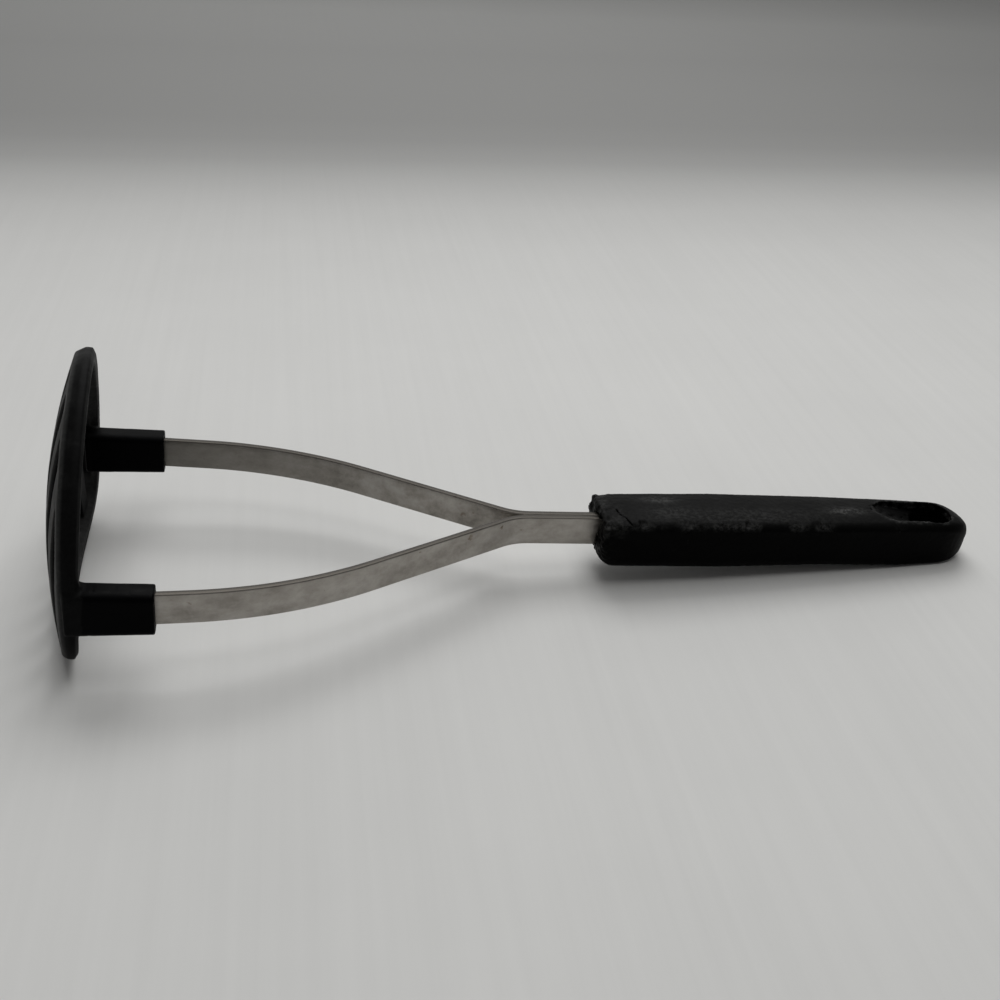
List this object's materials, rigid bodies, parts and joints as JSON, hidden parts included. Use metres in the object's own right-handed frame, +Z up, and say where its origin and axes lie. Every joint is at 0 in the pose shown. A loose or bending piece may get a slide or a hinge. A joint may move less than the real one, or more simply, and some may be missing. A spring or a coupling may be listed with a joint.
{
  "type": "potato masher",
  "caption": "Potato masher: an arched slotted plastic head on two bowed flat steel arms that meet in a dark moulded handle with a scooped hang hole.",
  "frame": {"origin": "on the table, under the centre of the tool's bounding box as it lies at rest on the head's rim and the handle's tail", "axes": "+X from the head to the handle's tail along the tool's length, +Y from the near arm to the far arm, +Z up"},
  "size_m": [0.2894, 0.094, 0.0752],
  "materials": {
    "head_nylon": "satin, scuffed",
    "strap_steel": "satin, water stained",
    "handle_plastic": "satin, chewed and nicked"
  },
  "bodies": {
    "root": {"masher_head": "head_nylon", "near_arm": "strap_steel", "far_arm": "strap_steel", "handle": "handle_plastic"}
  },
  "joints": []
}
